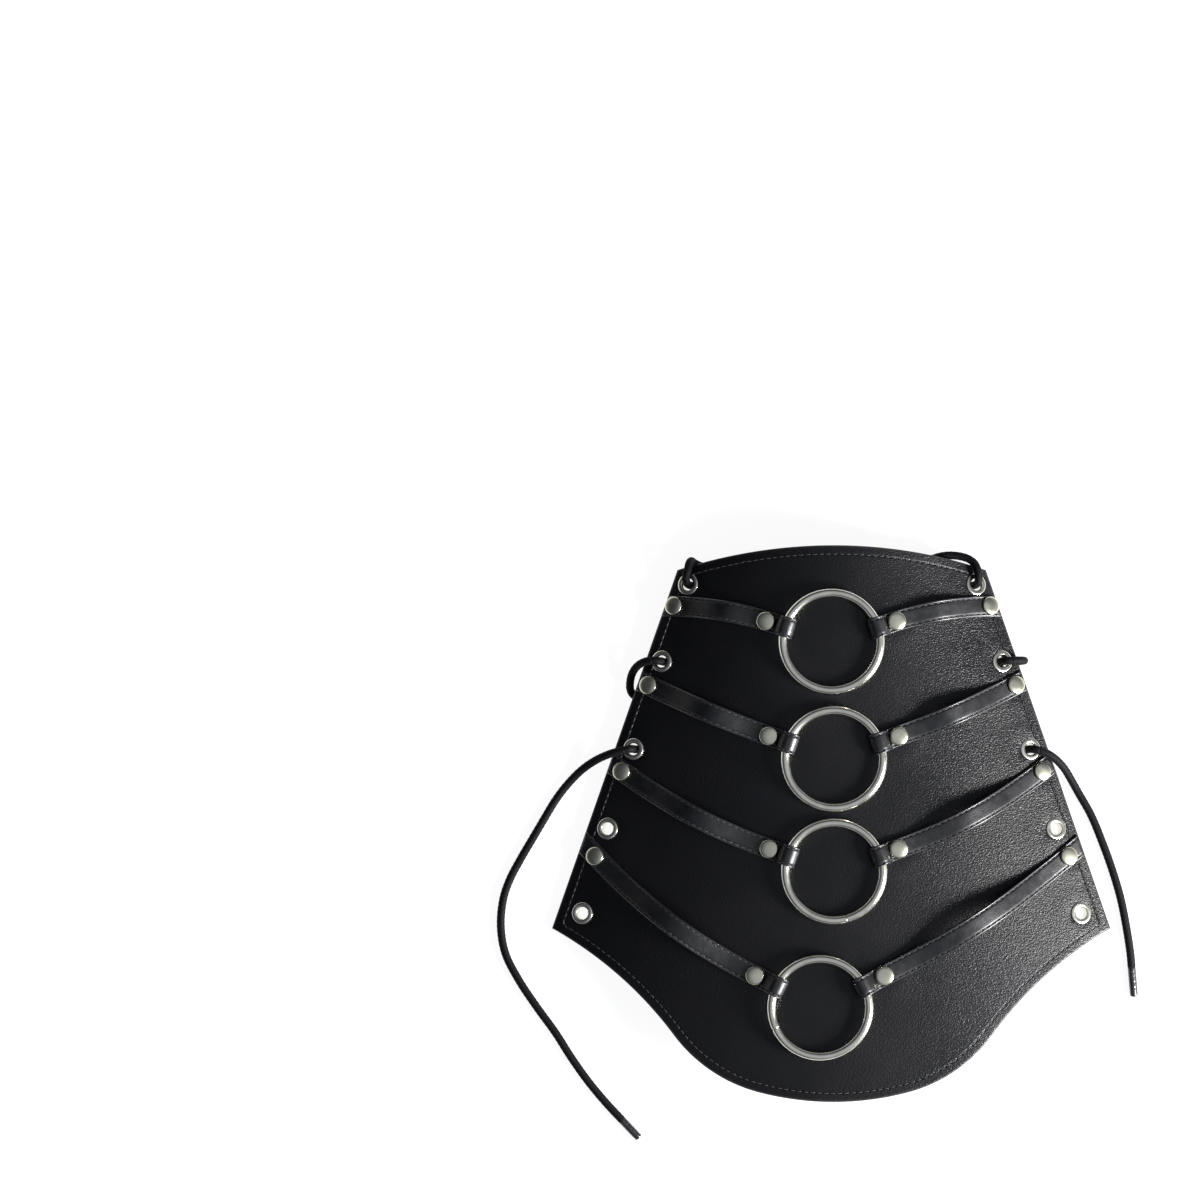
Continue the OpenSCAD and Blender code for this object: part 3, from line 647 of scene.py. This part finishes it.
skin = reckon(tree, "MULTIPLY_ADD", grain, 1.1, reckon(tree, "MULTIPLY", pores, .2))
skin = reckon(tree, "MULTIPLY_ADD", creased, 1.2, skin)
raised(tree, shader, skin, strength=0.6, distance=0.00015)
raised(tree, shader, groove, strength=0.7, distance=0.0003)
tone = ramp(tree, patches, (0.3, (.0016, .0017, .0024)), (0.7, (.0026, .0026, .0034)))
worn = between(tree, inset, .0002, .0010, 1.0, 0.0, soft=False)
mixed = put(tree, "ShaderNodeMix", {"data_type": "RGBA"}, in_0=worn, in_6=tone,
            in_7=(.030, .029, .029, 1))
tree.links.new(mixed.outputs[2], shader.inputs["Base Color"])
tree.links.new(between(tree, patches, .3, .7, .31, .39, soft=False), shader.inputs["Roughness"])

lining_leather, tree, shader = finish_of("pebbled_lining", Roughness=0.55,
                                         Specular_IOR_Level=0.35)
where = place_on(tree)
coloured(tree, shader, clouds(tree, where, 22.0, 3.0), (0.3, (.013, .012, .012)),
         (0.7, (.024, .022, .021)))
skin = reckon(tree, "MULTIPLY_ADD", clouds(tree, where, 2400.0, 3.0), .3,
              pebbles(tree, where, 950.0, 0.4))
raised(tree, shader, skin, strength=0.8, distance=0.00025)

hardware = np.vstack([eyelet_spots, inner_rivets, side_rivets])
outer_layer = leather_layer("outer_leather", 0, layer_t, .0005, .0002,
                            lambda x, y: relief(x, y, hardware, *outer_press),
                            lambda x, y: 0 * x, smooth_leather, cut_edge)
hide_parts("outer_panel")
lining_layer = leather_layer("lining_leather", layer_t, panel_t, .0002, .0004,
                             lambda x, y: 0 * x,
                             lambda x, y: relief(x, y, inner_rivets, *lining_press),
                             lining_leather, cut_edge)
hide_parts("lining_panel")

# ---- Ring straps ----
# Eight narrow straps of glossy leather with stitched edges. Each is folded round its ring,
# riveted to itself and the panel next to the ring, and riveted again at the side edge.
ring_r, wire_r, ring_gap = .021, .002, .0003
strap_w, strap_t, strap_tail = .009, .0015, .0045
strap_bulge = (.003, .0055, .006, .008)
layer_gap, cap_d = .0001, .008
edge_gap, edge_shy, cap_cover, nudge = .0004, .00035, .0009, .001
leave_angle, bend_out, bend_in = math.radians(60), .0025, .0022
span_count, rise_count, loop_count, tail_count = 72, 14, 34, 12
loop_c = math.sqrt(ring_r ** 2 - strap_w ** 2 / 4)
loop_r = wire_r + ring_gap + strap_t / 2
lower_h = layer_gap + strap_t / 2
upper_h = lower_h + strap_t + layer_gap


def row_dir(i, side):
    return unit(np.array([side * rivet_reach, rivet_up[i]]))


def ring_z(i):
    seats = [float(skin_z(*(ring_spots[i] + loop_c * row_dir(i, s)))) + lower_h for s in (-1, 1)]
    return loop_r + max(seats)


def strap_plan(i, side, u):
    """Middle line of a strap in plan, from the inner rivet (u = 0) to the side rivet (u = 1)."""
    a = ring_spots[i] + (side * rivet_reach, rivet_up[i])
    b = side_rivets[(0 if side < 0 else 4) + i]
    chord, t = b - a, row_dir(i, side)
    start = t * np.linalg.norm(chord)
    end = 2 * chord * (t @ unit(chord)) - start
    return ((2 * u ** 3 - 3 * u * u + 1) * a + (u ** 3 - 2 * u * u + u) * start
            + (3 * u * u - 2 * u ** 3) * b + (u ** 3 - u * u) * end)


def strap_height(i, u):
    ease = u * u * (3 - 2 * u)
    return upper_h + (lower_h - upper_h) * ease + strap_bulge[i] * math.sin(math.pi * u) ** 3


# Half of the strap's section, from the middle of the grain side to the middle of the flesh side
half_section = np.array([(0, .80), (1.3, .80), (2.4, .785), (2.9, .755), (3.05, .69), (3.2, .53),
                         (3.4, .43), (3.6, .53), (3.74, .68), (3.88, .75), (4.04, .755),
                         (4.2, .70), (4.34, .58), (4.44, .38), (4.5, .1), (4.5, -.35),
                         (4.4, -.62), (4.1, -.75), (3.0, -.75), (1.5, -.75), (0, -.75)]) * .001
section = np.vstack([half_section, half_section[-2:0:-1] * (-1, 1)])
groove_at = (6, len(section) - 6)


def strap_rings(i, side):
    """Rings of section points along a strap: side edge, span, rise, loop and tail."""
    p, q = strap_plan(i, side, 1.0), strap_plan(i, side, 0.98)
    t = unit(p - q)
    across = np.array([t[1], -t[0]])
    out_dir = np.array([side * side_out[0], side_out[1]])
    edge = side_at(0, edge_gap, side)
    rings = []
    # Flat on the panel from the side edge to the side rivet
    for f in (1, .985, .96, .8, .6, .4, .2):
        base = p + section[:, :1] * across
        far = ((edge - base) @ out_dir) / (t @ out_dir)
        base = base + t * (far * f)[:, None]
        thin = 1 - edge_shy / (strap_t / 2) * max(0, (f - .96) / .04) ** 2
        rings.append(over(base[:, 0], base[:, 1], lower_h + section[:, 1] * thin))
    # Bowed up off the panel between the two rivets
    middle, ways = [], []
    for u in np.linspace(1, 0, span_count):
        c = strap_plan(i, side, u)
        ahead = strap_plan(i, side, u - nudge) - strap_plan(i, side, u + nudge)
        middle.append(over(*c, strap_height(i, u)))
        ways.append(unit(np.cross(skin_normal(*c), (*ahead, 0))))
    # From the inner rivet's cap up to the wire
    e, z, c = row_dir(i, side), ring_z(i), ring_spots[i]
    a_dist = math.hypot(rivet_reach, rivet_up[i])
    flat = a_dist - cap_d / 2 + cap_cover
    flat_z = over(*(c + e * flat), upper_h)[2]
    slope = (over(*(c + e * (flat + nudge)), upper_h)[2] - flat_z) / nudge
    leave = np.array([math.cos(leave_angle), math.sin(leave_angle)])
    p0 = np.array([ring_r, z]) + loop_r * leave
    p1 = p0 + bend_out * np.array([leave[1], -leave[0]])
    p3 = np.array([flat, flat_z])
    p2 = p3 - bend_in * np.array([1, slope])
    for u in np.linspace(1, 0, rise_count):
        r, h = ((1 - u) ** 3 * p0 + 3 * (1 - u) ** 2 * u * p1 + 3 * (1 - u) * u * u * p2
                + u ** 3 * p3)
        middle.append(np.array([c[0] + e[0] * r, c[1] + e[1] * r, h]))
    # Round the wire, and back under itself past the inner rivet
    for q in np.linspace(leave_angle, 1.5 * np.pi, loop_count)[1:]:
        r = (ring_r if q < math.pi / 2 else loop_c) + loop_r * math.cos(q)
        middle.append(np.array([c[0] + e[0] * r, c[1] + e[1] * r, z + loop_r * math.sin(q)]))
    for r in np.linspace(loop_c, a_dist + strap_tail, tail_count)[1:]:
        middle.append(over(*(c + e * r), lower_h))
    ways += [np.array([e[1], -e[0], 0])] * (len(middle) - len(ways))
    middle = np.array(middle)
    heading = unit(np.gradient(middle, axis=0))
    for m, w, ahead in zip(middle, ways, heading):
        n = unit(np.cross(ahead, w))
        rings.append(m + section[:, :1] * w + section[:, 1:] * n)
    return np.array(rings)


section_run = run_along(np.vstack([section, section[:1]]))
strap_leather, tree, shader = finish_of("strap_leather", Specular_IOR_Level=0.62,
                                        Coat_Roughness=0.32, Coat_IOR=1.6)
where = place_on(tree)
unrolled = put(tree, "ShaderNodeUVMap", {"uv_map": "around_along"}).outputs[0]
around = put(tree, "ShaderNodeSeparateXYZ", Vector=unrolled).outputs["X"]
half_round = float(section_run[-1]) / 2

# The painted cut edges shine, and the grooves for the stitches are dull. Each lies at its own
# distance round the section from the middle of the grain side.
paint_starts, paint_full, groove_run = .0038, .0041, .0035
groove_half, groove_ends = .00034, .00050
off_flesh = reckon(tree, "ABSOLUTE", reckon(tree, "SUBTRACT", around, half_round))
painted = between(tree, off_flesh, half_round - paint_starts, half_round - paint_full,
                  to_high=.55)
tree.links.new(painted, shader.inputs["Coat Weight"])
off_groove = reckon(tree, "ABSOLUTE",
                    reckon(tree, "SUBTRACT", off_flesh, half_round - groove_run))
in_groove = between(tree, off_groove, groove_half, groove_ends, 1.0, 0.0)

grain = pebbles(tree, where, 1900.0, 0.7)
ripple = clouds(tree, where, 260.0, 3.0)
patches = clouds(tree, where, 60.0, 2.0)
coloured(tree, shader, patches, (0.3, (.0010, .0012, .0020)), (0.7, (.0024, .0024, .0032)))
gloss = between(tree, ripple, .3, .7, .33, .44, soft=False)
tree.links.new(reckon(tree, "MAXIMUM", gloss, in_groove), shader.inputs["Roughness"])
raised(tree, shader, reckon(tree, "MULTIPLY_ADD", ripple, 2.5, grain), strength=0.25,
       distance=0.00012)

# The rows of stitches run from the side edge into the loop
sewn_rings = slice(3, -22)
stitch_lines = []
for i in range(4):
    for side, word in ((-1, "left"), (1, "right")):
        rings = strap_rings(i, side)
        made = tube(f"leather_strap_{i + 1}_{word}", rings, section_run,
                    run_along(rings.mean(1)), strap_leather)
        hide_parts(f"strap_{i + 1}_{word}")
        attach(made, "bracer")
        stitch_lines += [rings[sewn_rings, k] for k in groove_at]

# ---- Stitching ----
# Black waxed thread in a lockstitch, along both edges of every strap and round the panel,
# where it goes through both layers and shows on both faces.
stitch_pitch, stitch_long, thread_d = .0029, .0024, .00045
stitch_rise, seam_step, corner_slack = .00008, .001, .00003

thread, tree, shader = finish_of("waxed_thread", Roughness=0.45, Specular_IOR_Level=0.45)
coloured(tree, shader, clouds(tree, place_on(tree), 1500.0, 2.0), (0.3, (.020, .020, .022)),
         (0.7, (.060, .060, .063)))


def node_group(name, result, inputs):
    """A new Geometry Nodes tree with named inputs and one named result."""
    made = bpy.data.node_groups.new(name, "GeometryNodeTree")
    for label, kind in inputs.items():
        made.interface.new_socket(label, in_out="INPUT", socket_type="NodeSocket" + kind)
    made.interface.new_socket(result, in_out="OUTPUT", socket_type="NodeSocketGeometry")
    return made, made.nodes.new("NodeGroupInput").outputs


sewing, given = node_group("stitches_along_lines", "Stitches", {
    "Lines": "Geometry", "Pitch": "Float", "Stitch length": "Float",
    "Thread thickness": "Float", "Thread": "Material"})
curve = put(sewing, "GeometryNodeMeshToCurve", Mesh=given["Lines"])
even = put(sewing, "GeometryNodeResampleCurve", {"mode": "LENGTH"}, Curve=curve.outputs["Curve"],
           Length=given["Pitch"])
grain_of_thread = put(sewing, "GeometryNodeMeshUVSphere", Segments=8, Rings=6, Radius=0.5)
size = put(sewing, "ShaderNodeCombineXYZ", X=given["Stitch length"], Y=given["Thread thickness"],
           Z=given["Thread thickness"])
stitch = put(sewing, "GeometryNodeTransform", Geometry=grain_of_thread.outputs["Mesh"],
             Scale=size.outputs[0])
turned = put(sewing, "FunctionNodeAlignRotationToVector", {"axis": "X"},
             Vector=put(sewing, "GeometryNodeInputTangent").outputs[0])
sewn_rows = put(sewing, "GeometryNodeInstanceOnPoints", Points=even.outputs["Curve"],
                Instance=stitch.outputs["Geometry"], Rotation=turned.outputs["Rotation"])
real = put(sewing, "GeometryNodeRealizeInstances", Geometry=sewn_rows.outputs["Instances"])
round_off = put(sewing, "GeometryNodeSetShadeSmooth", Geometry=real.outputs["Geometry"])
dressed = put(sewing, "GeometryNodeSetMaterial", Geometry=round_off.outputs["Geometry"],
              Material=given["Thread"])
put(sewing, "NodeGroupOutput", Stitches=dressed.outputs["Geometry"])


def grown(name, base, group, values):
    """Runs a Geometry Nodes tree on a base piece and keeps the result as a plain mesh."""
    modifier = base.modifiers.new("grow", "NODES")
    modifier.node_group = group
    for item in group.interface.items_tree:
        if item.item_type == "SOCKET" and item.in_out == "INPUT" and item.name in values:
            modifier[item.identifier] = values[item.name]
    bpy.context.view_layer.update()
    seen = base.evaluated_get(bpy.context.evaluated_depsgraph_get())
    mesh = bpy.data.meshes.new_from_object(seen)
    base.modifiers.remove(modifier)
    result = added(name, mesh)
    bpy.data.objects.remove(base)
    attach(result, "bracer")
    return result


def lines_piece(name, lines):
    """A mesh of loose edges along lines of points."""
    verts, edges = [], []
    for line in lines:
        edges += [(len(verts) + k, len(verts) + k + 1) for k in range(len(line) - 1)]
        verts += list(line)
    return piece(name, verts, [], edges=edges)


thread_sizes = {"Pitch": stitch_pitch, "Stitch length": stitch_long,
                "Thread thickness": thread_d, "Thread": thread}
grown("strap_stitches", lines_piece("strap_stitch_lines", stitch_lines), sewing, thread_sizes)

# The seam keeps one distance from the cut edge, so points that come nearer at a corner go
finer = np.vstack([a + (b - a) * f for a, b in zip(cut_line, np.roll(cut_line, -1, 0))
                   for f in np.linspace(0, 1, max(2, int(np.linalg.norm(b - a) / seam_step)),
                                        endpoint=False)])
ahead = unit(np.roll(finer, -1, 0) - finer)
sewn = finer + np.stack([-ahead[:, 1], ahead[:, 0]], 1) * stitch_in
sewn = sewn[from_edge(sewn) > stitch_in - corner_slack]
seam_x, seam_y = np.vstack([sewn, sewn[:1]]).T
front = over(seam_x, seam_y, stitch_rise)
front[:, 2] += relief(seam_x, seam_y, hardware, *outer_press) * stitch_in / calm_edge
back = np.stack([seam_x, seam_y, skin_z(seam_x, seam_y, panel_t) - stitch_rise], 1)
grown("panel_stitches", lines_piece("panel_stitch_lines", [front, back]), sewing, thread_sizes)

# ---- Rings ----
# Four rings of steel wire, bent round, butted at a seam and plated with bright nickel.
# Each hangs loose in its two strap loops.
seam_at = (158, 24, -74.5, 205)
seam_w, seam_depth = .0003, .0004
wire_sides, bend_count, seam_zone = 40, 190, .03


def plated(name, dull, bright, smoothest, roughest):
    """A nickel plate with a cloudy shine."""
    made, tree, shader = finish_of(name, Metallic=1.0)
    where = place_on(tree)
    cloud = clouds(tree, where, 150.0, 4.0)
    coloured(tree, shader, cloud, (0.3, dull), (0.7, bright))
    tree.links.new(between(tree, cloud, .3, .7, smoothest, roughest, soft=False),
                   shader.inputs["Roughness"])
    raised(tree, shader, clouds(tree, where, 900.0, 2.0), strength=0.12, distance=0.00005)
    return made


def wrapped(m, n):
    """The faces of m rows of n points, where rows and columns both close on themselves."""
    return [(k * n + j, k * n + (j + 1) % n, (k + 1) % m * n + (j + 1) % n, (k + 1) % m * n + j)
            for k in range(m) for j in range(n)]


nickel = plated("nickel_plate", (.80, .78, .67), (.92, .90, .79), .13, .22)

# The seam's groove: its depth as a share, at distances counted in widths of the seam
groove_far, groove_deep = (0, .5, .62, .9, 1.6), (1, .95, .30, .08, 0)
near_seam = np.array([0, .05, *groove_far[1:]]) * seam_w / ring_r
away = np.concatenate([near_seam, np.linspace(seam_zone, 2 * np.pi - seam_zone, bend_count),
                       2 * np.pi - near_seam[:0:-1]])
gap = np.minimum(away, 2 * np.pi - away) * ring_r / seam_w
wire = (wire_r - np.interp(gap, groove_far, groove_deep) * seam_depth)[:, None, None]
angle = np.linspace(0, 2 * np.pi, wire_sides, endpoint=False)[None, :, None]
for i in range(4):
    turned = away + math.radians(seam_at[i])
    out = np.stack([np.cos(turned), np.sin(turned), 0 * turned], 1)
    centre = np.array([*ring_spots[i], ring_z(i)])
    rings = (centre + out[:, None] * (ring_r + wire * np.cos(angle))
             + np.array([0, 0, 1]) * wire * np.sin(angle))
    made = piece(f"wire_ring_{i + 1}", rings.reshape(-1, 3), wrapped(*rings.shape[:2]),
                 stuff=nickel)
    turned_out(made)
    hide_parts(f"ring_{i + 1}")
    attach(made, f"ring_{i + 1}_body")

# ---- Rivets and eyelets ----
# Double-cap rivets with a low dome in front and a hollow post inside, and one-piece eyelets
# whose barrel is rolled over and splits at the back. All are pressed brass with nickel plate.
cap_h, cap_rim, cap_air = .0014, .0005, .00035
post_d, post_t, shank_d, shank_bore, post_top = .0068, .0006, .0032, .0024, .0012
bore_r, barrel_wall, front_d, back_d = .0026, .0004, .0095, .0080
cap_sides, post_sides, eyelet_sides = 48, 40, 72
tear_every, tear_share, tear_in, tear_flat = 8, .7, .8, .75

cap_plate = plated("cap_plate", (.65, .64, .50), (.84, .82, .66), .18, .26)


def close_poles(bm):
    bmesh.ops.remove_doubles(bm, verts=bm.verts, dist=1e-7)
    bmesh.ops.dissolve_degenerate(bm, edges=bm.edges, dist=1e-7)


def turned_piece(name, outline, segments, split):
    """A closed shape turned round its own Z axis from an outline of (radius, height) points."""
    verts = []
    for j in range(segments):
        q = 2 * math.pi * j / segments
        for r, h in outline:
            if split is not None:
                r, h = split(r, h, j)
            verts.append((r * math.cos(q), r * math.sin(q), h))
    made = piece(name, verts, wrapped(segments, len(outline)), stuff=nickel)
    turned_out(made, close_poles)
    return made


cap_outline = [(0, 0), (.0036, 0), (.00385, .0001), (.004, .0003), (.00399, cap_rim),
               (.00393, .00064), (.00382, .00078), (.00365, .00090), (.0034, .00101),
               (.0031, .00110), (.0026, .00121), (.0019, .00131), (.001, .00138), (0, cap_h)]

foot = -panel_t - layer_gap
flange = post_d / 2
post_outline = [(shank_bore / 2, post_top), (shank_bore / 2, foot - post_t + .0002),
                (shank_bore / 2 + .0002, foot - post_t), (flange - .0003, foot - post_t),
                (flange - .00008, foot - post_t + .00008), (flange, foot - post_t / 2),
                (flange - .0002, foot), (shank_d / 2, foot), (shank_d / 2, post_top)]

lip = (front_d / 2 - bore_r) / 2
roll = (back_d / 2 - bore_r) / 2
eyelet_outline = [(bore_r, foot), (bore_r, -.0004)]
eyelet_outline += [(bore_r + lip - lip * math.cos(q), .00062 * math.sin(q) ** .55)
                   for q in np.radians([6, 16, 30, 45, 62, 80, 100, 120, 140, 158, 170])]
eyelet_outline += [(front_d / 2, 0), (bore_r + barrel_wall, -.00002), (bore_r + barrel_wall, foot),
                   (back_d / 2, foot)]
eyelet_outline += [(bore_r + roll - roll * math.cos(q), foot - roll * math.sin(q) * .8)
                   for q in np.radians([170, 155, 135, 112, 90, 68, 45, 25, 8])]


def torn(r, h, j):
    """Nine splits in the rolled back edge, where it opened as it was set."""
    past = r - (bore_r + roll * tear_share)
    if h < foot - 1e-6 and past > 0 and j % tear_every == 0:
        return r - past * tear_in, h + (foot - h) * tear_flat
    return r, h


seats, given = node_group("pieces_set_on_seats", "Set pieces", {
    "Seats": "Geometry", "Piece": "Object", "Plate": "Material", "Turn seed": "Int"})
up = put(seats, "GeometryNodeInputNamedAttribute", {"data_type": "FLOAT_VECTOR"}, Name="up")
stood = put(seats, "FunctionNodeAlignRotationToVector", {"axis": "Z"},
            Vector=up.outputs["Attribute"])
spin = put(seats, "FunctionNodeRandomValue", {"data_type": "FLOAT"}, Seed=given["Turn seed"],
           in_3=2 * math.pi)
spun = put(seats, "FunctionNodeAxisAngleToRotation", Axis=(0, 0, 1), Angle=spin.outputs[1])
both = put(seats, "FunctionNodeRotateRotation", {"rotation_space": "LOCAL"},
           Rotation=stood.outputs[0], Rotate_By=spun.outputs[0])
model = put(seats, "GeometryNodeObjectInfo", Object=given["Piece"])
on_seats = put(seats, "GeometryNodeInstanceOnPoints", Points=given["Seats"],
               Instance=model.outputs["Geometry"], Rotation=both.outputs[0])
real = put(seats, "GeometryNodeRealizeInstances", Geometry=on_seats.outputs["Instances"])
dressed = put(seats, "GeometryNodeSetMaterial", Geometry=real.outputs["Geometry"],
              Material=given["Plate"])
put(seats, "NodeGroupOutput", Set_pieces=dressed.outputs["Geometry"])


def seat_points(name, spots, heights):
    """Loose points over the leather, each with the direction that its piece stands in."""
    ups = skin_normal(spots[:, 0], spots[:, 1])
    feet = over(spots[:, 0], spots[:, 1], 0) + ups * np.array(heights)[:, None]
    made = piece(name, feet, [])
    made.data.attributes.new("up", "FLOAT_VECTOR", "POINT").data.foreach_set("vector", ups.ravel())
    return made


# Each kind's piece and node, its outline, sides and splits, its plate, and the seed of its turns
kinds = (("caps_", "rivet_caps_", cap_outline, cap_sides, None, cap_plate, 3),
         ("posts_", "rivet_posts_", post_outline, post_sides, None, nickel, 5),
         ("set_eyelets_", "eyelets_", eyelet_outline, eyelet_sides, torn, nickel, 7))
cap_heights = [upper_h + strap_t / 2 + cap_air] * 4 + [lower_h + strap_t / 2 + cap_air] * 4
for n, side in enumerate(("left", "right")):
    rivets = np.vstack([inner_rivets[4 * n:4 * n + 4], side_rivets[4 * n:4 * n + 4]])
    places = ((rivets, cap_heights), (rivets, [0] * 8),
              (eyelet_spots[5 * n:5 * n + 5], [0] * 5))
    for (name, node, outline, sides, split, plate, seed), (spots, heights) in zip(kinds, places):
        model = turned_piece(name + "model", outline, sides, split)
        made = grown(name + side, seat_points(name + "seats", spots, heights), seats,
                     {"Piece": model, "Plate": plate, "Turn seed": seed})
        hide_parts(node + side)
        bpy.data.objects.remove(model)
